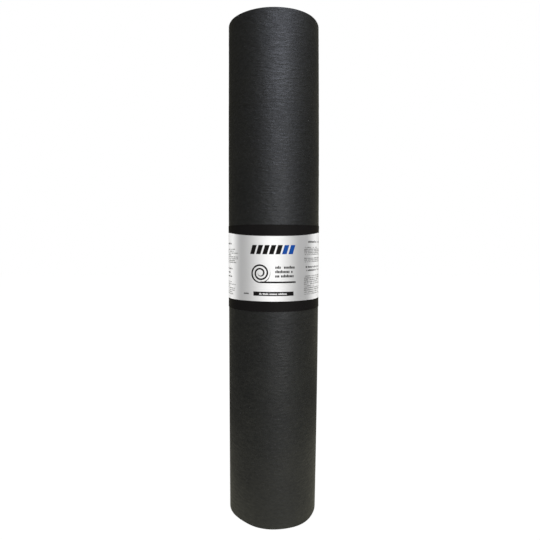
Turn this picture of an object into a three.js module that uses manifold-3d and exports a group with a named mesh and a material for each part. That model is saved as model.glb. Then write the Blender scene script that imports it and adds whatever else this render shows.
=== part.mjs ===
// A roll of roofing felt standing on its end, with a printed paper wrap round its middle.
//
// The roll is one long sheet wound on itself round an open bore, so its outline is a spiral: the
// sheet's tail makes a step of one ply outside, and its first edge makes one in the bore. Both ends
// show the winding as a spiral groove. Millimetres, +Z up, origin at the centre of the base.

import * as THREE from 'three';
import { mergeVertices } from 'three/addons/utils/BufferGeometryUtils.js';
import Module from 'manifold-3d';

const wasm = await Module();
wasm.setup();

const FULL_TURN = 2 * Math.PI;
const UP = new THREE.Vector3(0, 0, 1);

// The sheet of felt
const SHEET_WIDTH = 914.4; // 36 in, and so the roll's height
const SHEET_LENGTH = 21946; // 72 ft
const PLY_PITCH = 0.975; // one turn's thickness, as wound
const BORE_DIAMETER = 38; // left by the mandrel that it was wound on
const TAIL_ANGLE = THREE.MathUtils.degToRad(62); // of the sheet's outer edge, from +X

// The groove that shows the winding on each end
const PLIES_PER_GROOVE = 4; // plies between one turn of the groove and the next
const GROOVE_WIDTH = 1;
const GROOVE_DEPTH = 0.8;

// The paper wrap
const WRAP_HEIGHT = 152.4; // 6 in
const WRAP_RISE = 15.6; // from the roll's mid-height up to the wrap's
const PAPER_THICKNESS = 0.25;
const PAPER_CLEARANCE = 0.3; // between the felt and the paper
const LAP_LENGTH = 25; // where the paper's ends are glued over each other
const LAP_FROM_TAIL = THREE.MathUtils.degToRad(50); // round from the tail to the lap's first edge

// Straight stretches that stand for a curve
const OUTLINE_SEGMENTS = 96; // round the outside
const BORE_SEGMENTS = 48; // round the bore
const GROOVE_SEGMENT = 6.5; // along the groove
const LAP_SEGMENTS = 6; // across the lap

const boreRadius = BORE_DIAMETER / 2;
const turns = turnsWound();
const tailRadius = boreRadius + PLY_PITCH * (turns + 1);

// The turns that the sheet makes: its section, length by ply, fills the coil between the bore
// and the tail, pi * pitch * (pitch * n^2 + (2 * bore + pitch) * n) = length * pitch, solved for n.
function turnsWound() {
  const linear = 2 * boreRadius + PLY_PITCH;
  const root = Math.sqrt(linear ** 2 + (4 * PLY_PITCH * SHEET_LENGTH) / Math.PI);
  return (root - linear) / (2 * PLY_PITCH);
}

// A level spiral about +Z, whose radius grows by one pitch a turn.
class Spiral extends THREE.Curve {
  constructor({ radius, pitch, angle, turns, height = 0 }) {
    super();
    Object.assign(this, { radius, pitch, angle, turns, height });
  }

  getPoint(t, target = new THREE.Vector3()) {
    const turned = this.turns * t;
    target.set(this.radius + this.pitch * turned, 0, this.height);
    return target.applyAxisAngle(UP, this.angle + FULL_TURN * turned);
  }
}

// A closed mesh's geometry as a manifold-3d solid.
function toSolid(geometry) {
  const bare = geometry.clone();
  bare.deleteAttribute('normal');
  bare.deleteAttribute('uv');
  const merged = mergeVertices(bare, 1e-4);
  return new wasm.Manifold(
    new wasm.Mesh({
      numProp: 3,
      vertProperties: merged.attributes.position.array,
      triVerts: new Uint32Array(merged.index.array),
    }),
  );
}

// A manifold-3d solid as flat-shaded geometry.
function toGeometry(solid) {
  const { vertProperties, triVerts } = solid.getMesh();
  const indexed = new THREE.BufferGeometry();
  indexed.setAttribute('position', new THREE.BufferAttribute(vertProperties, 3));
  indexed.setIndex(new THREE.BufferAttribute(triVerts, 1));
  const flat = indexed.toNonIndexed();
  flat.computeVertexNormals();
  return flat;
}

function namedMesh(name, geometry, colour, roughness) {
  const material = new THREE.MeshStandardMaterial({ color: colour, roughness, metalness: 0 });
  const mesh = new THREE.Mesh(geometry, material);
  mesh.name = name;
  return mesh;
}

// The coil's outside, from the foot of the tail's step round to the tail's corner, or a share of
// that turn, at a distance from the felt.
function outerTurn({ from = 0, to = 1, offset = 0 } = {}) {
  return new Spiral({
    radius: tailRadius - PLY_PITCH * (1 - from) + offset,
    pitch: PLY_PITCH,
    angle: TAIL_ANGLE + FULL_TURN * from,
    turns: to - from,
  });
}

// The bore's wall: the inside of the sheet's first turn.
function boreTurn() {
  const angle = TAIL_ANGLE - FULL_TURN * turns;
  return new Spiral({ radius: boreRadius, pitch: PLY_PITCH, angle, turns: 1 });
}

// The coil of felt with plain ends.
function coil() {
  const section = new THREE.Shape(outerTurn().getPoints(OUTLINE_SEGMENTS));
  section.holes.push(new THREE.Path(boreTurn().getPoints(BORE_SEGMENTS)));
  return new THREE.ExtrudeGeometry(section, { depth: SHEET_WIDTH, bevelEnabled: false });
}

// The cutter for one end's groove: a V swept along the winding, half a groove's pitch clear of the
// bore and of the outside. inward is 1 where the roll lies above the end, and -1 where it lies below.
function grooveCutter(height, inward) {
  const pitch = PLIES_PER_GROOVE * PLY_PITCH;
  const innerRadius = boreRadius + pitch / 2;
  const outerRadius = tailRadius - pitch / 2;
  const grooveTurns = (outerRadius - innerRadius) / pitch;
  const path = new Spiral({
    radius: innerRadius,
    pitch,
    angle: TAIL_ANGLE - FULL_TURN * grooveTurns,
    turns: grooveTurns,
    height,
  });
  const length = FULL_TURN * grooveTurns * ((innerRadius + outerRadius) / 2);
  const steps = Math.ceil(length / GROOVE_SEGMENT);
  path.arcLengthDivisions = 4 * steps;

  // The section's x points down, and the V is GROOVE_WIDTH wide where it crosses the end.
  const tip = -inward * GROOVE_DEPTH;
  const corners = [
    new THREE.Vector2(tip, 0),
    new THREE.Vector2(-tip, GROOVE_WIDTH),
    new THREE.Vector2(-tip, -GROOVE_WIDTH),
  ];
  return new THREE.ExtrudeGeometry(new THREE.Shape(corners), {
    steps,
    extrudePath: path,
    bevelEnabled: false,
  });
}

function feltRoll() {
  const wound = toSolid(coil())
    .subtract(toSolid(grooveCutter(0, 1)))
    .subtract(toSolid(grooveCutter(SHEET_WIDTH, -1)));
  return namedMesh('felt_roll', toGeometry(wound), 0x2b2a2a, 0.9);
}

// The wrap's outline at a distance from the felt. Drawn tight, the paper leaves the felt at the
// tail's corner and meets it again where the straight line from there touches the turn below.
function paperOutline(offset) {
  const from = Math.acos((tailRadius - PLY_PITCH) / tailRadius) / FULL_TURN;
  return outerTurn({ from, offset }).getPoints(OUTLINE_SEGMENTS);
}

// The second layer of paper at the lap. It starts half a thickness inside the first, to join it.
function paperLap() {
  const from = LAP_FROM_TAIL / FULL_TURN;
  const to = from + LAP_LENGTH / (FULL_TURN * tailRadius);
  const arc = (offset) => outerTurn({ from, to, offset }).getPoints(LAP_SEGMENTS);
  const inner = arc(PAPER_CLEARANCE + PAPER_THICKNESS / 2);
  const outer = arc(PAPER_CLEARANCE + 2 * PAPER_THICKNESS);
  return new THREE.Shape([...outer, ...inner.reverse()]);
}

function paperWrap() {
  const section = new THREE.Shape(paperOutline(PAPER_CLEARANCE + PAPER_THICKNESS));
  section.holes.push(new THREE.Path(paperOutline(PAPER_CLEARANCE)));
  const [band, lap] = [section, paperLap()].map((shape) =>
    toSolid(new THREE.ExtrudeGeometry(shape, { depth: WRAP_HEIGHT, bevelEnabled: false })),
  );
  const wrap = namedMesh('label_wrap', toGeometry(band.add(lap)), 0xcdced0, 0.45);
  wrap.position.z = (SHEET_WIDTH - WRAP_HEIGHT) / 2 + WRAP_RISE;
  return wrap;
}

const roll = new THREE.Group();
roll.name = 'roofing_felt_roll';
roll.add(feltRoll(), paperWrap());

export default roll;
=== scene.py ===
"""The looks of a roll of roofing felt: its wound sheet, its printed paper wrap and a studio."""

import math

import bpy
import numpy as np
from mathutils import Matrix, Vector


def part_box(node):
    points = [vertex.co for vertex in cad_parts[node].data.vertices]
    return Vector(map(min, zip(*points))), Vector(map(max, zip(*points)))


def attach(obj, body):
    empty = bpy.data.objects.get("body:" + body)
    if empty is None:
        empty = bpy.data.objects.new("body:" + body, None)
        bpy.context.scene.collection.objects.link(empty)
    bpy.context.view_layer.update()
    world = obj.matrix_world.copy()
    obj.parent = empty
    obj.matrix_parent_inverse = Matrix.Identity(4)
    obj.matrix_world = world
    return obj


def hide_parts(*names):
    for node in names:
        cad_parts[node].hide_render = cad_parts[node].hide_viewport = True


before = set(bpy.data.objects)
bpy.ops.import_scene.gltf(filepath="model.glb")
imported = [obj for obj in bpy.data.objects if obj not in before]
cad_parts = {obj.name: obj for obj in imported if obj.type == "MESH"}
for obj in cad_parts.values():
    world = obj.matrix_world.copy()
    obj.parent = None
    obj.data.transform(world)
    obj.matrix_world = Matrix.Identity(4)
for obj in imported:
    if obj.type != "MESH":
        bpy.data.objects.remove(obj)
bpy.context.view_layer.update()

MM = 0.001
QUARTER_TURN, FULL_TURN = math.pi / 2, 2 * math.pi


def polar(node):
    """The radius and angle of each corner of a CAD node, about the roll's axis."""
    places = np.array([v.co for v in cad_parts[node].data.vertices])
    return np.hypot(places[:, 0], places[:, 1]), np.arctan2(places[:, 1], places[:, 0])


# --- Sizes, from the frame -------------------------------------------------------------------

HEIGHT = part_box("felt_roll")[1].z
roll_radii, roll_angles = polar("felt_roll")
BORE_RADIUS = float(roll_radii.min())
TAIL_RADIUS = float(roll_radii.max())
TAIL_ANGLE = float(roll_angles[roll_radii.argmax()])
WRAP_LOW, WRAP_HIGH = (corner.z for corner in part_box("label_wrap"))
WRAP_MIDDLE = (WRAP_LOW + WRAP_HIGH) / 2
WRAP_TALL = WRAP_HIGH - WRAP_LOW

# The winding, with whole steps in each turn and from the sheet's first edge to its tail
PLY = 0.975 * MM
STEPS_A_TURN = 96
LAST_STEP = round(((TAIL_RADIUS - BORE_RADIUS) / PLY - 1) * STEPS_A_TURN)
PITCH = (TAIL_RADIUS - BORE_RADIUS) / (LAST_STEP / STEPS_A_TURN + 1)
STEP_ANGLE = FULL_TURN / STEPS_A_TURN
TAIL_STEPS = 6  # that the sheet's free end springs along
FIRST_EDGE_STEPS = 22  # that its first edge springs along, in the bore
WALL_ROWS = 500
BORE_ROWS = 24
CLEAR = 0.02 * MM  # between a sprung edge and the turn beside it
SHARP_FROM = math.radians(35)  # the fold from which a mesh's edge is crisp

# How far the roll strays from a true coil
BELLY_AT = 480 * MM  # the height where its wall stands out most
BELLY_RISE = 1.2 * MM  # by this much
TOP_DROP, BASE_DROP = 2.62 * MM, 2.1 * MM  # how far the wall falls from there to each end
BOW_FROM = 450 * MM  # the height that its axis bends away from, to the left at both ends
TOP_BOW, BASE_BOW = 0.6 * MM, 1.5 * MM
DENT = 0.28 * MM
KNOCK_WIDE = math.radians(22)
KNOCK_TALL = 80 * MM
BASE_KNOCKS = {-43: -3.3 * MM, 39: 3.1 * MM}  # outward, by degrees round from the front
TOP_KNOCKS = {-58: 1.4 * MM, 43: 1.6 * MM}
RIPPLE = 0.13 * MM
TAIL_LIFT = 1.3 * MM
FIRST_EDGE_SPRING = 1.4 * MM

# The ends, where the turns show
RIM_ROUND = 0.15 * MM
CHAMFER = 0.22  # the share of a ply that slopes into the seam on each side of it
SEAM_DEPTH = 0.9 * MM
GAP_DEPTH = 3.5 * MM  # on top of that, where two turns lie loose
GAP_WIDTH = 0.35 * MM
SEAM_STEPS = 8  # that a seam takes to reach its depth

# The paper wrap
PAPER = 0.2 * MM
PAPER_OFF_FELT = 0.14 * MM
PAPER_ROWS, PAPER_COLUMNS = 27, 165
PAPER_WANDER = 0.25 * MM  # how far its edges stray from a straight line
PAPER_DROP = 0.5 * MM  # how low the strip starts
PAPER_CLIMB = 1.1 * MM  # how much higher it lies after one turn
PAPER_START = math.radians(50)  # round from the felt's tail to the strip's first edge
ONCE_ROUND = PAPER_START + FULL_TURN
LAP_LENGTH = 25 * MM
PAPER_FINISH = ONCE_ROUND + LAP_LENGTH / TAIL_RADIUS
LAP_RISE = math.radians(4)  # the turn in which the strip climbs onto its own start
LAP_CLEAR = 0.06 * MM
PUFF = 0.10 * MM
CURL = 0.16 * MM  # at its upper and lower edges
END_LIFT, END_TURN = 0.45 * MM, math.radians(3)  # of its last edge

# The bake layouts, in metres until each is shrunk to fit: where each part starts, and its size
FACE_LAYOUT = (0, 0), (0.60, HEIGHT)
BORE_LAYOUT = (0.61, 0), (0.24, HEIGHT)
END_MIDDLES = (0.95, 0.1), (0.95, 0.3)
FELT_LAYOUT_SIZE = 1.05
PAPER_BACK_LAYOUT = (0, 0.16)
PRINTED_RIM_LAYOUT, CUT_RIM_LAYOUT = (0, 0.33), (0.01, 0.33)
RIM_PATCH = 0.001 * np.array([[0, 0], [1, 0], [1, 1], [0, 1]])
PAPER_LAYOUT_SIZE = 0.6


# --- Noise and mesh helpers ------------------------------------------------------------------

def noise(x, y, seed):
    """Smooth noise from -1 to 1. Places x and y are counted in cells of the noise."""
    lattice = np.random.default_rng(seed).uniform(-1, 1, (256, 256))
    x, y = np.broadcast_arrays(np.asarray(x, float), np.asarray(y, float))
    column, row = np.floor(x).astype(int), np.floor(y).astype(int)
    across, up = x - column, y - row
    across = across * across * (3 - 2 * across)
    up = up * up * (3 - 2 * up)

    def corner(right, above):
        return lattice[(column + right) % 256, (row + above) % 256]

    low = corner(0, 0) * (1 - across) + corner(1, 0) * across
    high = corner(0, 1) * (1 - across) + corner(1, 1) * across
    return low * (1 - up) + high * up


def ease(value, start, end):
    """0 before start, 1 after end, and a smooth rise between them."""
    share = np.clip((np.asarray(value, float) - start) / (end - start), 0, 1)
    return share * share * (3 - 2 * share)


def strip_quads(lower, upper):
    """Quads between two rows of vertex numbers of the same length."""
    return np.stack([lower[:-1], lower[1:], upper[1:], upper[:-1]], axis=1)


def grid_corners(grid):
    """The four corners of each cell of a grid of values, round the cell."""
    corners = [grid[:-1, :-1], grid[:-1, 1:], grid[1:, 1:], grid[1:, :-1]]
    stacked = np.stack(corners, axis=2)
    return stacked.reshape(-1, 4, *stacked.shape[3:])


def cylinder_points(radius, angle, height):
    radius, angle, height = np.broadcast_arrays(radius, angle, height)
    return np.stack([radius * np.cos(angle), radius * np.sin(angle), height], axis=-1)


def bow(height):
    """How far the roll's axis strays to the side, as it isn't quite straight."""
    above = np.clip(height - BOW_FROM, 0, None) / (HEIGHT - BOW_FROM)
    below = np.clip(BOW_FROM - height, 0, None) / BOW_FROM
    return -TOP_BOW * above ** 2 - BASE_BOW * below ** 2


def make_object(name, points, faces, materials, face_materials, corner_uv, places, tone=None):
    """A smooth mesh with crisp edges that follows the roll's bow, with its bake layout and its
    points' places on the sheet."""
    points[:, 0] += bow(points[:, 2])
    mesh = bpy.data.meshes.new(name)
    mesh.from_pydata(points.tolist(), [], faces.tolist())
    for material in materials:
        mesh.materials.append(material)
    mesh.polygons.foreach_set("material_index", np.asarray(face_materials, np.int32))
    layout = mesh.uv_layers.new(name="OFBake")
    layout.data.foreach_set("uv", np.asarray(corner_uv, np.float32).ravel())
    mesh.attributes.new("sheet_place", "FLOAT_VECTOR", "POINT").data.foreach_set(
        "vector", np.asarray(places, np.float32).ravel())
    if tone is not None:
        mesh.attributes.new("tone", "FLOAT", "POINT").data.foreach_set(
            "value", np.asarray(tone, np.float32))
    mesh.shade_smooth()
    mesh.set_sharp_from_angle(angle=SHARP_FROM)
    mesh.update()
    item = bpy.data.objects.new(name, mesh)
    bpy.context.scene.collection.objects.link(item)
    return item


# --- Node helpers ----------------------------------------------------------------------------

class Nodes:
    """The nodes of a material or world. Most calls add a node or a few and give an output."""

    def __init__(self, tree):
        self.tree = tree

    def put(self, value, socket):
        if isinstance(value, bpy.types.NodeSocket):
            self.tree.links.new(value, socket)
        else:
            socket.default_value = value

    def node(self, kind, inputs=(), **settings):
        made = self.tree.nodes.new(kind)
        for name, value in settings.items():
            setattr(made, name, value)
        for name, value in dict(inputs).items():
            self.put(value, made.inputs[name])
        return made

    def math(self, operation, *values):
        inputs = enumerate(values)
        return self.node("ShaderNodeMath", inputs, operation=operation).outputs[0]

    def measure(self, operation, first, second):
        """A number from two vectors."""
        inputs = {0: first, 1: second}
        return self.node("ShaderNodeVectorMath", inputs, operation=operation).outputs["Value"]

    def parts(self, vector):
        return self.node("ShaderNodeSeparateXYZ", {"Vector": vector}).outputs

    def vector(self, x, y=0.0, z=0.0):
        return self.node("ShaderNodeCombineXYZ", {"X": x, "Y": y, "Z": z}).outputs[0]

    def ramp(self, value, low, high, start=0.0, end=1.0, smooth=False):
        """value from low to high becomes start to end, and stays there beyond."""
        kind = "SMOOTHSTEP" if smooth else "LINEAR"
        return self.node("ShaderNodeMapRange", {
            "Value": value, "From Min": low, "From Max": high, "To Min": start, "To Max": end,
        }, interpolation_type=kind, clamp=True).outputs[0]

    def mix(self, share, first, second):
        """A mix of two colours."""
        first, second = (colour if isinstance(colour, bpy.types.NodeSocket) else (*colour, 1)
                         for colour in (first, second))
        inputs = {0: share, 6: first, 7: second}
        return self.node("ShaderNodeMix", data_type="RGBA", inputs=inputs).outputs[2]

    def by_ray(self, seen, glossy, otherwise):
        """seen on camera and transmission rays, glossy on glossy ones, and otherwise on others."""
        rays = self.node("ShaderNodeLightPath").outputs
        clear = self.math("MAXIMUM", rays["Is Camera Ray"], rays["Is Transmission Ray"])
        unseen = self.node("ShaderNodeMix", {0: rays["Is Glossy Ray"], 2: otherwise, 3: glossy})
        return self.node("ShaderNodeMix", {0: clear, 2: unseen.outputs[0], 3: seen}).outputs[0]


class Shader(Nodes):
    """A material's nodes, round its Principled BSDF."""

    def __init__(self, name):
        self.material = bpy.data.materials.new(name)
        self.material.use_nodes = True
        super().__init__(self.material.node_tree)
        self.principled = self.tree.nodes["Principled BSDF"]

    def attribute(self, name, output):
        return self.node("ShaderNodeAttribute", attribute_name=name).outputs[output]

    def place(self):
        """Where a point lies on its sheet: metres along it, metres up it, and turns below it."""
        return self.attribute("sheet_place", "Vector")

    def noise(self, vector, cells, detail=2.0, rough=0.5, bend=0.0):
        """Noise of so many cells a metre, or so many along each of the vector's parts."""
        if isinstance(cells, tuple):
            mapping = self.node("ShaderNodeMapping", {"Vector": vector, "Scale": cells})
            vector, cells = mapping.outputs[0], 1.0
        return self.node("ShaderNodeTexNoise", {
            "Vector": vector, "Scale": cells, "Detail": detail, "Roughness": rough,
            "Distortion": bend}).outputs["Fac"]

    def bump(self, height, distance, normal=None):
        made = self.node("ShaderNodeBump", {"Height": height, "Distance": distance})
        if normal is not None:
            self.put(normal, made.inputs["Normal"])
        return made.outputs[0]

    def finish(self, **sockets):
        for name, value in sockets.items():
            self.put(value, self.principled.inputs[name.replace("_", " ")])
        return self.material


# --- The coil of felt ------------------------------------------------------------------------

def sheet_radius(step):
    """The radius of the sheet's outer face at each step along it, in a true coil."""
    return BORE_RADIUS + PITCH * (1 + step / STEPS_A_TURN)


def sheet_angle(step):
    return TAIL_ANGLE - STEP_ANGLE * (LAST_STEP - step)


def sheet_length(step):
    """The length of sheet from its first edge to each step."""
    return STEP_ANGLE * step * (sheet_radius(0) + sheet_radius(step)) / 2


def belly(height):
    """How far the wall of the roll stands off a true cylinder, the same all round."""
    above = np.clip(height - BELLY_AT, 0, None) / (HEIGHT - BELLY_AT)
    below = np.clip(BELLY_AT - height, 0, None) / BELLY_AT
    return BELLY_RISE - TOP_DROP * above ** 2 - BASE_DROP * below ** 2


def knocks(angle, height):
    """How far each end has been knocked out of round."""
    total = 0.0
    for ends, away in ((BASE_KNOCKS, height), (TOP_KNOCKS, HEIGHT - height)):
        for turned, out in ends.items():
            middle = math.radians(turned - 90)
            off = np.mod(angle - middle + math.pi, FULL_TURN) - math.pi
            bump = out * np.exp(-(off / KNOCK_WIDE) ** 2)
            total = total + bump * (1 - ease(away, 0, KNOCK_TALL))
    return total


def dents(angle, height):
    """Broad shallow dents, which meet where they come round, and the knocks at the ends."""
    rng = np.random.default_rng(11)
    total = 0.0
    for waves in range(2, 9):
        size, phase, lean, rise = rng.uniform((0.4, 0, -5, 0), (1, 6.3, 5, 6.3))
        turned = np.cos(waves * angle + phase + lean * height)
        total = total + size / waves * turned * np.cos(4 * height + rise)
    return DENT * total + knocks(angle, height)


def ripples(along, height):
    """Short level ripples in the felt's face, fainter below the middle."""
    lean = 1.6 * noise(along / 0.05, height / 0.03, 21)
    short = noise(along / 0.017, height / 0.0042 + lean, 22)
    long = noise(along / 0.045, height / 0.010 + lean, 23)
    strength = 0.25 + 0.75 * ease(height, 0.35 * HEIGHT, 0.7 * HEIGHT)
    return RIPPLE * strength * (0.6 * short + 0.4 * long)


def tail_lift(step, height):
    """How far the free end of the sheet stands off the turn below. The wrap holds it down."""
    free = ease(np.abs(height - WRAP_MIDDLE), 0.6 * WRAP_TALL, 0.4 * HEIGHT)
    free = free * (0.7 + 0.3 * noise(height / 0.12, 0, 31)) + 0.08
    return TAIL_LIFT * free * np.clip((step - LAST_STEP + TAIL_STEPS) / TAIL_STEPS, 0, 1) ** 2


def wall_radius(step, height):
    """The radius of the sheet's face where it is the outside of the roll."""
    return (sheet_radius(step) + belly(height) + dents(sheet_angle(step), height)
            + ripples(sheet_length(step), height) + tail_lift(step, height))


def tail_back_radius(step, height):
    """The radius of the back of the free end, which clears the turn below."""
    below = wall_radius(step - STEPS_A_TURN, height)
    return np.maximum(wall_radius(step, height) - PITCH, below + CLEAR)


def bore_radius(step, height):
    """The radius of the sheet's back where it is the wall of the bore, first edge and all."""
    sprung = np.clip(1 - (step + STEPS_A_TURN) / FIRST_EDGE_STEPS, 0, 1) ** 2
    sprung = sprung * (1 + 0.25 * noise(height / 0.2, 0, 41))
    uneven = 0.08 * MM * noise(sheet_length(step + STEPS_A_TURN) / 0.03, height / 0.05, 42)
    return sheet_radius(step) - FIRST_EDGE_SPRING * sprung + uneven


def flap_face_radius(step, height):
    """The radius of the face of the sprung first edge, which clears the turn behind it."""
    face = bore_radius(step - STEPS_A_TURN, height) + PITCH
    return np.minimum(face, bore_radius(step, height) - CLEAR)


def ply_depth(step, seed):
    """How far the sheet's cut edge lies inside the end of the roll, step by step."""
    turn = step / STEPS_A_TURN
    slid = noise(turn / 7, 0, seed)
    wavy = noise(turn * 1.7, 0, seed + 1)
    nicked = noise(step / 3, 0, seed + 2)
    rim = ease(step, LAST_STEP - 1.5 * STEPS_A_TURN, LAST_STEP - 0.5 * STEPS_A_TURN)
    dented = 0.35 * rim * ease(noise(turn * 5, 0, seed + 3), 0.1, 0.8)
    uneven = (1 - 0.9 * rim) * (0.5 + 0.6 * slid + 0.3 * wavy)
    return MM * np.clip(uneven + 0.06 * nicked + dented, 0, None)


def seam_gap(step, seed):
    """How loosely the turns lie on each other at each step: 0 where tight, 1 at a gap."""
    turn = step / STEPS_A_TURN
    loose = noise(turn * 2.3, turn * 0.9, seed) + 0.35 * noise(turn / 4, 0, seed + 1)
    return ease(loose, 0.25, 0.8)


def ring_tone(turn, seed):
    """How light the cut edges are, from -1 to 1: a slow drift and each turn's own."""
    return np.clip(0.6 * noise(turn / 5, 0, seed) + 0.7 * noise(turn * 2.1, 0, seed + 1), -1, 1)


# The steps of an end's vertices: along the cut edge, along the seams from the bore's wall to the
# roll's, along the back of the free tail and along the face of the sprung first edge
EDGE = np.arange(LAST_STEP + 1)
SEAM = np.arange(-STEPS_A_TURN, LAST_STEP + 1)
TAIL = np.arange(LAST_STEP - TAIL_STEPS + 1, LAST_STEP + 1)
FLAP = np.arange(FIRST_EDGE_STEPS)
WALL_FROM = LAST_STEP - TAIL_STEPS - STEPS_A_TURN
ON_WALL, ON_BORE = SEAM >= WALL_FROM, SEAM <= FIRST_EDGE_STEPS


def seam_radii(height):
    """The radius of each seam. The inner turns share out the wall's strays from a true coil."""
    share = (sheet_radius(SEAM) - BORE_RADIUS) / (TAIL_RADIUS - BORE_RADIUS)
    strays = belly(height) + dents(sheet_angle(SEAM), height)
    radii = sheet_radius(SEAM) + share ** 2 * strays
    radii[ON_WALL] = wall_radius(SEAM[ON_WALL], height)
    radii[ON_BORE] = bore_radius(SEAM[ON_BORE], height)
    return radii


def seam_depths(edge_depth, gap, seed):
    """How far each seam lies inside the end: deep between two turns, slight at a wall's rim."""
    here = edge_depth[np.clip(SEAM, 0, None)]
    next_turn = edge_depth[np.clip(SEAM + STEPS_A_TURN, 0, LAST_STEP)]
    deep = ease(SEAM, FIRST_EDGE_STEPS, FIRST_EDGE_STEPS + SEAM_STEPS)
    deep = deep * (1 - ease(SEAM, WALL_FROM - SEAM_STEPS, WALL_FROM))
    rough = 1 + 0.3 * noise(SEAM / 5, 0, seed)
    depths = np.maximum(here, next_turn) + RIM_ROUND + deep * (
        SEAM_DEPTH * rough + GAP_DEPTH * gap)
    depths[ON_WALL] = here[ON_WALL] + RIM_ROUND
    depths[ON_BORE] = next_turn[ON_BORE] + RIM_ROUND
    return depths


class End:
    """One end of the coil: the vertices of its cut edges and its seams, from number first on."""

    def __init__(self, first, height, inward, seed):
        self.inward = inward
        rows = [SEAM, EDGE, EDGE, TAIL, FLAP]
        starts = first + np.concatenate([[0], np.cumsum([len(row) for row in rows])])
        self.seam, self.inner, self.outer, self.tail, self.flap = (
            np.arange(low, high) for low, high in zip(starts[:-1], starts[1:]))
        self.back = np.concatenate([self.seam[:LAST_STEP - TAIL_STEPS + 1], self.tail])
        self.face = np.concatenate([self.flap, self.seam[STEPS_A_TURN + FIRST_EDGE_STEPS:]])

        # The cut edge has two corners at each step, between the ply's back and its face
        seam, tail = seam_radii(height), tail_back_radius(TAIL, height)
        flap = flap_face_radius(FLAP, height)
        back, face = seam[:len(EDGE)].copy(), seam[STEPS_A_TURN:].copy()
        back[TAIL], face[FLAP] = tail, flap
        gap = np.where(ON_WALL | ON_BORE, 0, seam_gap(SEAM, seed + 4))
        inner = back + CHAMFER * (face - back) + GAP_WIDTH / 2 * gap[:len(EDGE)]
        outer = face - CHAMFER * (face - back) - GAP_WIDTH / 2 * gap[STEPS_A_TURN:]

        depth = ply_depth(EDGE, seed)
        depths = [seam_depths(depth, gap, seed + 6), depth, depth,
                  depth[TAIL] + RIM_ROUND, depth[FLAP] + RIM_ROUND]
        steps = np.concatenate(rows)
        self.points = cylinder_points(np.concatenate([seam, inner, outer, tail, flap]),
                                      sheet_angle(steps), height + inward * np.concatenate(depths))
        self.places = np.stack([sheet_length(steps), self.points[:, 2], steps / STEPS_A_TURN],
                               axis=1)
        self.tone = ring_tone(steps / STEPS_A_TURN, seed + 8)
        self.tone[:len(SEAM)][~(ON_WALL | ON_BORE)] = -1

    def faces(self):
        """The end's quads, from the first edge to the tail, and the two ends of the cut edge."""
        rows = [self.back, self.inner, self.outer, self.face]
        quads = np.concatenate([strip_quads(low, high) for low, high in zip(rows[:-1], rows[1:])])
        start, finish = (np.array([[row[k] for row in rows]]) for k in (0, -1))
        if self.inward < 0:
            quads, start = quads[:, ::-1], start[:, ::-1]
        else:
            finish = finish[:, ::-1]
        return np.concatenate([quads, start, finish])

    def wall_loop(self):
        """The rim of the roll's wall, round past the tail's corner to the foot of its slit."""
        return np.concatenate([self.seam[LAST_STEP - TAIL_STEPS:], self.tail[::-1]])

    def bore_loop(self):
        """The rim of the bore, round behind the sprung first edge and back along its face."""
        return np.concatenate([self.seam[:STEPS_A_TURN + FIRST_EDGE_STEPS + 1], self.flap[::-1]])


class Wall:
    """A wall between two loops, with new vertices from number first on. Each run of columns has
    its steps and the function that gives its radius."""

    def __init__(self, points, low, high, rows, first, runs, uv_corner, uv_size):
        share = np.arange(1, rows)[:, None] / rows
        heights = points[low, 2] + share * (points[high, 2] - points[low, 2])
        steps = np.concatenate([run_steps for run_steps, _ in runs])
        ends = np.cumsum([len(run_steps) for run_steps, _ in runs])[:-1]
        run_heights = np.split(heights, ends, axis=1)
        radii = np.concatenate([radius(run_steps, height) for (run_steps, radius), height
                                in zip(runs, run_heights)], axis=1)
        self.points = cylinder_points(radii, sheet_angle(steps), heights).reshape(-1, 3)
        self.places = np.stack(np.broadcast_arrays(
            sheet_length(steps), heights, steps / STEPS_A_TURN), axis=-1).reshape(-1, 3)

        numbers = first + np.arange((rows - 1) * len(low)).reshape(rows - 1, len(low))
        grid = np.concatenate([[low], numbers, [high]])
        self.faces = grid_corners(np.concatenate([grid, grid[:, :1]], axis=1))
        u, v = np.meshgrid(np.arange(len(low) + 1) / len(low), np.arange(rows + 1) / rows)
        self.uv = grid_corners(np.array(uv_corner) + np.stack([u, v], axis=-1) * uv_size)


def felt_coil():
    """The whole sheet of felt as one closed mesh."""
    base = End(0, 0.0, 1, seed=100)
    top = End(len(base.points), HEIGHT, -1, seed=200)
    ends = np.concatenate([base.points, top.points])

    turn = np.arange(WALL_FROM, LAST_STEP + 1)
    tail = np.arange(LAST_STEP, LAST_STEP - TAIL_STEPS, -1)
    wall = Wall(ends, base.wall_loop(), top.wall_loop(), WALL_ROWS, len(ends),
                [(turn, wall_radius), (tail, tail_back_radius)], *FACE_LAYOUT)
    first_turn = np.arange(-STEPS_A_TURN, FIRST_EDGE_STEPS + 1)
    flap = np.arange(FIRST_EDGE_STEPS - 1, -1, -1)
    bore = Wall(ends, base.bore_loop(), top.bore_loop(), BORE_ROWS, len(ends) + len(wall.points),
                [(first_turn, bore_radius), (flap, flap_face_radius)], *BORE_LAYOUT)

    points = np.concatenate([ends, wall.points, bore.points])
    cuts = [base.faces(), top.faces()]
    faces = np.concatenate([wall.faces, bore.faces[:, ::-1], *cuts])
    discs = [points[cut, :2] + middle for cut, middle in zip(cuts, END_MIDDLES)]
    uv = np.concatenate([wall.uv, bore.uv[:, ::-1], *discs]) / FELT_LAYOUT_SIZE
    places = np.concatenate([base.places, top.places, wall.places, bore.places])
    tone = np.concatenate([base.tone, top.tone, np.zeros(len(points) - len(ends))])
    kinds = np.repeat([0, 1], [len(wall.faces) + len(bore.faces), sum(map(len, cuts))])
    return make_object("felt_sheet", points, faces, [felt_face(), felt_edge()], kinds, uv, places,
                       tone)


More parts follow.
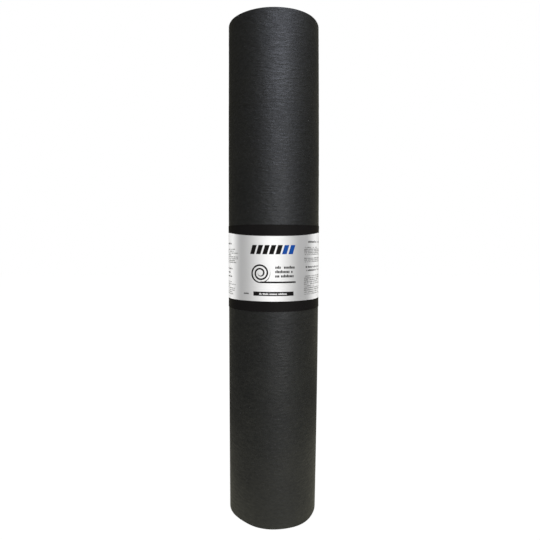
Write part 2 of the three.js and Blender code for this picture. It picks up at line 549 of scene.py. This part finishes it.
# The felt's face: where its streaks grow stronger, how strong they are below that, and its relief
UPPER_FROM, UPPER_AT = 0.30 * HEIGHT, 0.68 * HEIGHT
LOW_STREAKS = 0.42
STREAK_RELIEF, MOTTLE_RELIEF, GRAIN_RELIEF = 0.82 * MM, 0.60 * MM, 0.05 * MM
FELT_GLOSS, FELT_GLOSS_TINT = 0.72, (0.84, 0.875, 1.0, 1)

# Its darkest and lightest tones, each below and above its middle, its dust, and its cut edge
FELT_DARK = (0.0026, 0.0026, 0.0011), (0.0024, 0.0023, 0.0014)
FELT_LIGHT = (0.0129, 0.0126, 0.0082), (0.0088, 0.0086, 0.0064)
DUST = (0.10, 0.098, 0.095)
CUT_DARK, CUT_LIGHT = (0.006, 0.0057, 0.0055), (0.052, 0.048, 0.043)


def felt_face():
    """Saturated felt: near black, with level streaks above the middle and a fine grain below."""
    shader = Shader("saturated_felt")
    place = shader.place()
    height = shader.parts(place)["Y"]
    upper = shader.ramp(height, UPPER_FROM, UPPER_AT, smooth=True)

    streaks = shader.noise(place, (45, 260, 25), rough=0.45, bend=0.35)
    mottle = shader.noise(place, (100, 230, 20), detail=1.0)
    grain = shader.noise(place, (240, 1400, 40), detail=3.0, rough=0.6)
    broad = shader.noise(place, (7, 11, 5), detail=3.0, rough=0.55)
    speckle = shader.noise(place, (130, 210, 30), detail=1.0)
    relief = shader.math("MULTIPLY", streaks, shader.ramp(upper, 0, 1, LOW_STREAKS, 1))
    normal = shader.bump(relief, STREAK_RELIEF)
    normal = shader.bump(mottle, MOTTLE_RELIEF, normal)
    normal = shader.bump(grain, GRAIN_RELIEF, normal)

    tone = shader.math("ADD", shader.ramp(broad, 0.3, 0.7, 0, 0.5),
                       shader.ramp(speckle, 0.3, 0.7, 0, 0.5))
    colour = shader.mix(tone, shader.mix(upper, *FELT_DARK), shader.mix(upper, *FELT_LIGHT))
    dust = shader.ramp(shader.noise(place, (900, 900, 30), detail=0.0), 0.86, 0.90)
    colour = shader.mix(dust, colour, DUST)
    gloss = shader.math("ADD", shader.math("ADD", streaks, mottle), broad)
    rough = shader.ramp(gloss, 1.2, 1.8, 0.62, 0.50)
    return shader.finish(Base_Color=colour, Roughness=rough, Normal=normal,
                         Specular_IOR_Level=FELT_GLOSS, Specular_Tint=FELT_GLOSS_TINT)


def felt_edge():
    """The felt's cut edge: fibrous and duller, a little lighter where the blade opened it."""
    shader = Shader("cut_felt")
    ground = shader.node("ShaderNodeTexCoord").outputs["Object"]
    fibres = shader.noise(ground, 1500.0, detail=3.0, rough=0.6)
    tufts = shader.noise(ground, 330.0)
    tone = shader.ramp(shader.attribute("tone", "Fac"), -1, 1)
    light = shader.math("MULTIPLY", tone, shader.ramp(fibres, 0.3, 0.7, 0.55, 1.0))
    colour = shader.mix(light, CUT_DARK, CUT_LIGHT)
    normal = shader.bump(tufts, 0.3 * MM)
    normal = shader.bump(fibres, 0.12 * MM, normal)
    return shader.finish(Base_Color=colour, Roughness=0.85, Normal=normal, Specular_IOR_Level=0.2)


# --- The paper wrap --------------------------------------------------------------------------

def felt_below(round_from_tail, height):
    """The radius that the tight paper lies on. It bridges the tail's step in a straight line."""
    turned = np.mod(round_from_tail, FULL_TURN)
    step = LAST_STEP - STEPS_A_TURN + turned / STEP_ANGLE
    felt = TAIL_RADIUS - PITCH * (1 - turned / FULL_TURN)
    meets = math.acos((TAIL_RADIUS - PITCH) / TAIL_RADIUS)
    straight = (TAIL_RADIUS - PITCH) / np.cos(np.clip(meets - turned, 0, None))
    felt = np.where(turned < meets, np.maximum(felt, straight), felt)
    return felt + belly(height) + dents(sheet_angle(step), height)


def paper_grid():
    """Shares of the strip's height and angles round from the tail, each as a grid. The columns are
    closer together where the paper bends."""
    at_tail = FULL_TURN + np.radians([-4, -1, 0, 1.5, 3, 5, 7, 9, 11])
    at_lap = ONCE_ROUND + np.radians([-5, -3, -2, -1, -0.4, 0, 0.4, 1])
    even = np.linspace(PAPER_START, PAPER_FINISH, PAPER_COLUMNS)
    columns = np.union1d(even, np.concatenate([at_tail, at_lap]))
    return np.meshgrid(np.linspace(0, 1, PAPER_ROWS), columns, indexing="ij")


def paper_heights(up, around):
    wander = PAPER_WANDER * noise((around - PAPER_START) * TAIL_RADIUS / 0.06, 0, 51)
    climb = PAPER_CLIMB * (around - PAPER_START) / FULL_TURN
    return WRAP_LOW + up * WRAP_TALL + (wander + climb - PAPER_DROP)


def paper_back_radius(up, around, height):
    """The radius of the paper's back, on the felt and then on the strip's own start."""
    along = (around - PAPER_START) * TAIL_RADIUS
    near_edge = ease(np.abs(up - 0.5), 0.42, 0.5)
    puff = PUFF * (1 + noise(along / 0.035, height / 0.028, 52))
    curl = near_edge * CURL * (1 + noise(along / 0.05, np.where(up > 0.5, 5, 0), 53))
    lifted = END_LIFT * ease(around, PAPER_FINISH - END_TURN, PAPER_FINISH)
    lifted = lifted * (0.6 + 0.4 * noise(height / 0.03, 0, 54))
    over = ease(around, ONCE_ROUND - LAP_RISE, ONCE_ROUND)
    return (felt_below(around, height) + PAPER_OFF_FELT + puff + curl
            + over * (PAPER + LAP_CLEAR) + lifted)


def paper_wrap():
    """The strip of paper, once round the roll and over its own start at the lap."""
    up, around = paper_grid()
    height = paper_heights(up, around)
    radius = paper_back_radius(up, around, height)
    points = np.concatenate([
        cylinder_points(face_radius, TAIL_ANGLE + around, height).reshape(-1, 3)
        for face_radius in (radius, radius + PAPER)])
    back = np.arange(up.size).reshape(up.shape)
    front = back + up.size
    printed_rim = [strip_quads(back[0], front[0]), strip_quads(front[-1], back[-1])]
    cut_rim = [strip_quads(front[:, 0], back[:, 0]), strip_quads(back[:, -1], front[:, -1])]
    faces = np.concatenate([grid_corners(front), grid_corners(back)[:, ::-1],
                            *printed_rim, *cut_rim])

    # Places on the strip: along it from the middle of its printed front, and up from its foot
    front_angle = -QUARTER_TURN + FULL_TURN - TAIL_ANGLE
    flat = np.stack([(around - front_angle) * TAIL_RADIUS, up * WRAP_TALL, around * 0], axis=-1)
    layout = flat[..., :2] - flat[0, 0, :2]
    front_uv = grid_corners(layout)
    back_uv = grid_corners(layout + PAPER_BACK_LAYOUT)[:, ::-1]
    printed, cut = (sum(map(len, rim)) for rim in (printed_rim, cut_rim))
    rim_uv = [np.tile(RIM_PATCH + corner, (count, 1, 1)) for corner, count in (
        (PRINTED_RIM_LAYOUT, printed), (CUT_RIM_LAYOUT, cut))]
    uv = np.concatenate([front_uv, back_uv, *rim_uv]) / PAPER_LAYOUT_SIZE
    kinds = np.repeat([0, 1, 0, 1], [len(front_uv), len(back_uv), printed, cut])
    return make_object("paper_label", points, faces, [printed_paper(), bare_paper()], kinds, uv,
                       np.tile(flat.reshape(-1, 3), (2, 1)))


# Its print, in millimetres along from the middle of its front and up from its foot. The black
# borders are this tall at the front, and the silver spreads into them by so much at the sides.
BORDER_LOW, BORDER_HIGH = 18.4, 19.8
SPREAD_LOW, SPREAD_HIGH = 0.8, 7.6
BARS = {"left": -40, "low": 101, "high": 117, "pitch": 11.4, "wide": 8.2, "lean": 0.3}
BLACK_BARS, BLUE_BARS = (0, 4), (5, 6)
ROLL_DRAWING = {"u": -23, "v": 68, "radius": 17.5, "pitch": 6.2, "line": 2.9, "reach": 63}
BLACK_BAND = (-36, 36, 28.0, 35.4)  # left, right, low and high

# Rows of dashes: left, right, low, rows, pitch, height, width, and how ragged their right edge is
BAND_DASHES = (-25, 25, 30, 1, 4, 3.2, 1.7, 0.1)
BLACK_DASHES = [
    (3, 40, 60.5, 3, 7.6, 5.0, 2.6, 0.3),
    (-58, -45, 30, 1, 4, 3.0, 1.6, 0.1),
    (66, 124, 121, 1, 8, 3.8, 2.0, 0.1),
    (62, 124, 70, 2, 6, 3.4, 2.0, 0.35),
    (-125, -86, 118, 1, 9, 3.6, 2.0, 0.6),
    (-125, -84, 58, 3, 7, 3.2, 2.0, 0.6)]
GREY_DASHES = [
    (58, 124, 99, 5, 3.1, 2.3, 1.3, 0.35),
    (58, 124, 86, 3, 3.1, 2.3, 1.3, 0.35),
    (58, 124, 28, 10, 3.6, 2.3, 1.3, 0.5),
    (-125, -66, 84, 8, 3.4, 2.3, 1.3, 0.5),
    (-125, -76, 26, 7, 3.6, 2.3, 1.3, 0.6)]
BLANK, TALL = 0.15, 0.7  # of the numbers from 0 to 1 that pick a dash: none below, and tall above
LOW_DASH = 0.75  # of a tall dash's height
DASH_SHARE = 0.78  # of its place's width

INK = (0.0063, 0.0056, 0.0059)
BLUE_INK = (0.004, 0.048, 0.235)
GREY_SHARE = 0.75  # of ink over the silver, where small print is grey

# The silver's painted sheen: light and dark bands painted into the paper's colour in place of a
# reflection, by the turn from the front or the back. It is light a little to the left of it, dark
# from DARK_AT off that to RIM_FROM, and light again from RIM_AT on. The shift of its light to the
# left, the lighter left rim and the darker right-hand band are painted light and shade that even
# out the lamps, which stand to the right.
SILVER_SHEEN_LIGHT, PAINTED_LEFT_RIM = (0.715, 0.715, 0.722), (0.97, 0.97, 0.975)
SHEEN_LEFT_DARK, SHEEN_RIGHT_DARK = (0.368, 0.368, 0.373), (0.303, 0.303, 0.308)
LIGHT_AT, DARK_AT = math.radians(-2), math.radians(36.5)
RIM_FROM, RIM_AT = math.radians(41), math.radians(64)


class Print:
    """Flat marks on the strip of paper, as masks of 0 and 1. Places are in millimetres: u round
    the strip from the middle of its front, and v up from its foot."""

    def __init__(self, shader):
        self.shader = shader
        flat = shader.parts(shader.place())
        self.u = shader.math("MULTIPLY", flat["X"], 1000)
        self.v = shader.math("MULTIPLY", flat["Y"], 1000)

    def all_of(self, *masks):
        return self.folded("MULTIPLY", masks)

    def any_of(self, *masks):
        return self.folded("MAXIMUM", masks)

    def folded(self, operation, values):
        total = values[0]
        for value in values[1:]:
            total = self.shader.math(operation, total, value)
        return total

    def between(self, value, low, high):
        return self.all_of(self.shader.math("GREATER_THAN", value, low),
                           self.shader.math("LESS_THAN", value, high))

    def box(self, left, right, low, high):
        return self.all_of(self.between(self.u, left, right), self.between(self.v, low, high))

    def chance(self, *places):
        """A number from 0 to 1 for each whole place."""
        whole = [self.shader.math("FLOOR", place) for place in places]
        return self.shader.node("ShaderNodeTexWhiteNoise", {
            "Vector": self.shader.vector(*whole)}).outputs["Value"]

    def dashes(self, left, right, low, rows, pitch, tall, wide, ragged):
        """Rows of upright dashes, like print too small to read, with a ragged right edge."""
        math_of = self.shader.math
        high = low + pitch * (rows - 1) + tall
        row = math_of("DIVIDE", math_of("SUBTRACT", self.v, low), pitch)
        place = math_of("DIVIDE", self.u, wide)
        kind = self.chance(place, row)
        top = math_of("MULTIPLY_ADD", math_of("GREATER_THAN", kind, TALL), 1 - LOW_DASH, LOW_DASH)
        top = math_of("MULTIPLY", top, tall / pitch)
        in_row = math_of("LESS_THAN", math_of("FRACT", row), top)
        in_place = math_of("LESS_THAN", math_of("FRACT", place), DASH_SHARE)
        shown = math_of("GREATER_THAN", kind, BLANK)
        other_row = math_of("ADD", row, 40)  # which has a chance of its own
        cut_short = math_of("MULTIPLY", self.chance(other_row), ragged * (right - left))
        ends = math_of("LESS_THAN", math_of("ADD", self.u, cut_short), right)
        return self.all_of(self.box(left, right, low, high), in_row, in_place, shown, ends)

    def all_dashes(self, blocks):
        return self.any_of(*[self.dashes(*block) for block in blocks])

    def slanted_bars(self, first, last, left, low, high, pitch, wide, lean):
        """Upright bars that lean to the right, from number first to last, counted from left."""
        math_of = self.shader.math
        above = math_of("SUBTRACT", self.v, (low + high) / 2)
        leaning = math_of("MULTIPLY_ADD", above, -lean, self.u)
        count = math_of("DIVIDE", math_of("SUBTRACT", leaning, left), pitch)
        bar = math_of("LESS_THAN", math_of("FRACT", count), wide / pitch)
        number = self.between(math_of("FLOOR", count), first - 0.5, last + 0.5)
        return self.all_of(bar, number, self.between(self.v, low, high))

    def wound_sheet(self, u, v, radius, pitch, line, reach):
        """A roll seen from its end, as a spiral line, with its sheet laid out to the right."""
        math_of = self.shader.math
        across, up = math_of("SUBTRACT", self.u, u), math_of("SUBTRACT", self.v, v)
        away = self.shader.measure("DISTANCE", self.shader.vector(across, up), (0, 0, 0))
        turned = math_of("DIVIDE", math_of("ARCTAN2", across, up), FULL_TURN)
        winding = math_of("DIVIDE", math_of("MULTIPLY_ADD", turned, pitch, away), pitch)
        ring = self.all_of(math_of("LESS_THAN", math_of("FRACT", winding), line / pitch),
                           self.between(away, 0.25 * radius, radius))
        sheet = self.box(u, u + reach, v - radius, v - radius + line)
        return self.any_of(ring, sheet)

    def borders(self):
        """The black borders, less what the silver spreads into them. That is nothing at the front,
        and stays the same from the sides on, round the back."""
        math_of = self.shader.math
        turned = math_of("ABSOLUTE", math_of("DIVIDE", self.u, 1000 * TAIL_RADIUS))
        off_front = math_of("SINE", math_of("MINIMUM", turned, QUARTER_TURN))
        spread = math_of("POWER", off_front, 3.0)
        low = math_of("SUBTRACT", BORDER_LOW, math_of("MULTIPLY", spread, SPREAD_LOW))
        high = math_of("ADD", 1000 * WRAP_TALL - BORDER_HIGH,
                       math_of("MULTIPLY", spread, SPREAD_HIGH))
        return self.any_of(math_of("LESS_THAN", self.v, low),
                           math_of("GREATER_THAN", self.v, high))

    def silver(self):
        """The silver's colour with its painted sheen, light and dark bands in place of a
        reflection, which is the same at the back as at the front. Its left side is painted lighter
        and its right darker, to even out the lamps on the right.
        """
        shader = self.shader
        turned = shader.math("DIVIDE", self.u, 1000 * TAIL_RADIUS)
        off_front = shader.math("PINGPONG", turned, QUARTER_TURN)
        off_light = shader.math("PINGPONG", shader.math("ADD", turned, -LIGHT_AT), QUARTER_TURN)
        # left to right: painted lighter on the left and darker on the right, against the lamps on
        # the right
        across = shader.ramp(turned, -0.5, 0.5)
        dark = shader.mix(across, SHEEN_LEFT_DARK, SHEEN_RIGHT_DARK)
        rim = shader.mix(across, PAINTED_LEFT_RIM, SILVER_SHEEN_LIGHT)
        silver = shader.mix(shader.ramp(off_light, 0, DARK_AT, 1, 0, smooth=True),
                            dark, SILVER_SHEEN_LIGHT)
        return shader.mix(shader.ramp(off_front, RIM_FROM, RIM_AT, smooth=True), silver, rim)


def printed_paper():
    """Silver paper with a painted sheen, black borders and a generic print."""
    shader = Shader("printed_silver_paper")
    marks = Print(shader)
    off_band_dashes = shader.math("SUBTRACT", 1.0, marks.dashes(*BAND_DASHES))
    black = marks.any_of(
        marks.borders(), marks.slanted_bars(*BLACK_BARS, **BARS),
        marks.wound_sheet(**ROLL_DRAWING), marks.all_dashes(BLACK_DASHES),
        marks.all_of(marks.box(*BLACK_BAND), off_band_dashes))
    blue = marks.slanted_bars(*BLUE_BARS, **BARS)
    grey = shader.math("MULTIPLY", marks.all_dashes(GREY_DASHES), GREY_SHARE)

    # the silver with its painted sheen, under the grey small print
    colour = shader.mix(grey, marks.silver(), INK)
    colour = shader.mix(blue, colour, BLUE_INK)
    colour = shader.mix(black, colour, INK)
    fibre = shader.noise(shader.place(), (300, 520, 1), detail=3.0)
    rough = shader.ramp(fibre, 0.3, 0.7, 0.50, 0.60)
    gloss = shader.ramp(marks.any_of(black, blue), 0, 1, 0.5, 0.08)
    return shader.finish(Base_Color=colour, Roughness=rough, Normal=shader.bump(fibre, 0.03 * MM),
                         Specular_IOR_Level=gloss)


def bare_paper():
    """The paper's plain back and its cut edges."""
    shader = Shader("bare_paper")
    fibre = shader.noise(shader.place(), (700, 900, 1), detail=3.0)
    colour = shader.mix(fibre, (0.50, 0.49, 0.47), (0.62, 0.61, 0.58))
    return shader.finish(Base_Color=colour, Roughness=0.8, Normal=shader.bump(fibre, 0.03 * MM))


# --- Studio ----------------------------------------------------------------------------------

# What lights the object from the world
AMBIENT = 0.65
SIDE_AMBIENT = 1.25  # what that rises to, straight to the left and right
SIDE_FROM = 0.35  # how far to the side a direction points where the rise begins

# What its gloss reflects. White all round would turn the near-black felt grey, so this is less.
GLOSS_COLOUR = (1.0, 0.96, 0.71)
GLOSS_AMBIENT = 0.10
BACKDROP_GLOSS = 0.57  # what that rises to behind the roll
BEHIND = (0.17, 0.985, 0)  # a little to its right
BEHIND_FROM = 0.70  # how far that way a direction points where the rise begins
FLOOR_BEHIND = 0.5, 1.7  # how far that way the rise begins and ends on the floor
NEAR_GLOSS = 0.60  # what the floor gives close to the roll
NEAR_CENTRE = (0.07, 0, 0)
NEAR, FAR = 0.12, 0.55  # how far from there that begins to fade, and where it ends

FLOOR_SIZE = 12
FLOOR_COLOUR = (0.8, 0.79, 0.77, 1)
FLOOR_WHITE = 1.04
FLOOR_GLOW = 0.92  # the part of the floor's white that no shadow takes away

# The lamps: degrees round from the front to the right and up, width and length, watts, colour
COOL, WARM = (0.945, 0.965, 1.0), (1.0, 0.98, 0.90)
SOFT_BOXES = {
    "key": (15.5, 45, (1.05, 0.7), 14.1, COOL),
    "low_key": (18, -3, (0.95, 0.75), 7.6, WARM),
    "fill": (70, 45, (0.8, 0.7), 0.9, COOL),
    "back": (185, 48, (0.75, 0.7), 8, WARM)}
LAMPS_FACE = Vector((0, 0, 0.5))
LAMPS_AWAY = 1.7

CAMERA_AT = (0, -0.8546, 0.5164)
CAMERA_PITCH, CAMERA_ROLL = math.radians(86.555), math.radians(0.115)
LENS, SENSOR_WIDTH = 29.52, 36
SHIFT = -0.0065


def gloss_colour(nodes):
    """White, but for glossy rays."""
    return nodes.mix(nodes.by_ray(0.0, 1.0, 0.0), (1, 1, 1), GLOSS_COLOUR)


def white_world():
    """White behind the object, and what lights it and shows in its gloss."""
    world = bpy.data.worlds.new("studio")
    world.use_nodes = True
    nodes = Nodes(world.node_tree)
    direction = nodes.node("ShaderNodeTexCoord").outputs["Generated"]
    to_side = nodes.math("ABSOLUTE", nodes.parts(direction)["X"])
    light = nodes.ramp(to_side, SIDE_FROM, 1, AMBIENT, SIDE_AMBIENT)
    to_back = nodes.measure("DOT_PRODUCT", direction, BEHIND)
    gloss = nodes.ramp(to_back, BEHIND_FROM, 1, GLOSS_AMBIENT, BACKDROP_GLOSS)
    background = nodes.tree.nodes["Background"]
    nodes.put(gloss_colour(nodes), background.inputs["Color"])
    nodes.put(nodes.by_ray(1.0, gloss, light), background.inputs["Strength"])
    bpy.context.scene.world = world


def pale_floor():
    bpy.ops.mesh.primitive_plane_add(size=FLOOR_SIZE)
    floor = bpy.context.object
    floor.name = "floor"
    shader = Shader("pale_floor")
    shader.finish(Base_Color=FLOOR_COLOUR, Roughness=0.9)
    where = shader.node("ShaderNodeTexCoord").outputs["Object"]
    to_back = shader.measure("DOT_PRODUCT", where, BEHIND)
    away = shader.measure("DISTANCE", where, NEAR_CENTRE)
    gloss = shader.math("MAXIMUM",
                        shader.ramp(to_back, *FLOOR_BEHIND, GLOSS_AMBIENT, BACKDROP_GLOSS),
                        shader.ramp(away, NEAR, FAR, NEAR_GLOSS, GLOSS_AMBIENT))
    glow = shader.node("ShaderNodeEmission", {
        "Color": gloss_colour(shader), "Strength": shader.by_ray(FLOOR_WHITE, gloss, 0.0)})
    share = shader.by_ray(FLOOR_GLOW, FLOOR_GLOW, 0.0)
    mixed = shader.node("ShaderNodeMixShader", {
        0: share, 1: shader.principled.outputs[0], 2: glow.outputs[0]})
    shader.put(mixed.outputs[0], shader.tree.nodes["Material Output"].inputs["Surface"])
    floor.data.materials.append(shader.material)


def soft_box(name, azimuth, elevation, size, power, colour):
    """A lamp that faces the roll."""
    lamp = bpy.data.lights.new(name, "AREA")
    lamp.shape = "RECTANGLE"
    lamp.size, lamp.size_y = size
    lamp.color = colour
    lamp.energy = power
    item = bpy.data.objects.new(name, lamp)
    turn, rise = math.radians(azimuth), math.radians(elevation)
    away = Vector((math.sin(turn) * math.cos(rise), -math.cos(turn) * math.cos(rise),
                   math.sin(rise)))
    item.location = LAMPS_FACE + LAMPS_AWAY * away
    item.rotation_euler = away.to_track_quat("Z", "Y").to_euler()
    bpy.context.scene.collection.objects.link(item)


def camera():
    lens = bpy.data.cameras.new("camera")
    lens.lens = LENS
    lens.sensor_width = SENSOR_WIDTH
    lens.shift_x = SHIFT
    item = bpy.data.objects.new("camera", lens)
    turned = Matrix.Rotation(CAMERA_PITCH, 4, "X") @ Matrix.Rotation(CAMERA_ROLL, 4, "Z")
    item.matrix_world = Matrix.Translation(CAMERA_AT) @ turned
    bpy.context.scene.collection.objects.link(item)
    bpy.context.scene.camera = item


# --- The scene -------------------------------------------------------------------------------

camera()
white_world()
pale_floor()
for lamp_name, lamp_settings in SOFT_BOXES.items():
    soft_box(lamp_name, *lamp_settings)

felt = felt_coil()
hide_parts("felt_roll")
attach(felt, "root")

label = paper_wrap()
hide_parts("label_wrap")
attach(label, "root")

bpy.context.scene.view_settings.view_transform = "Standard"
bpy.context.view_layer.update()
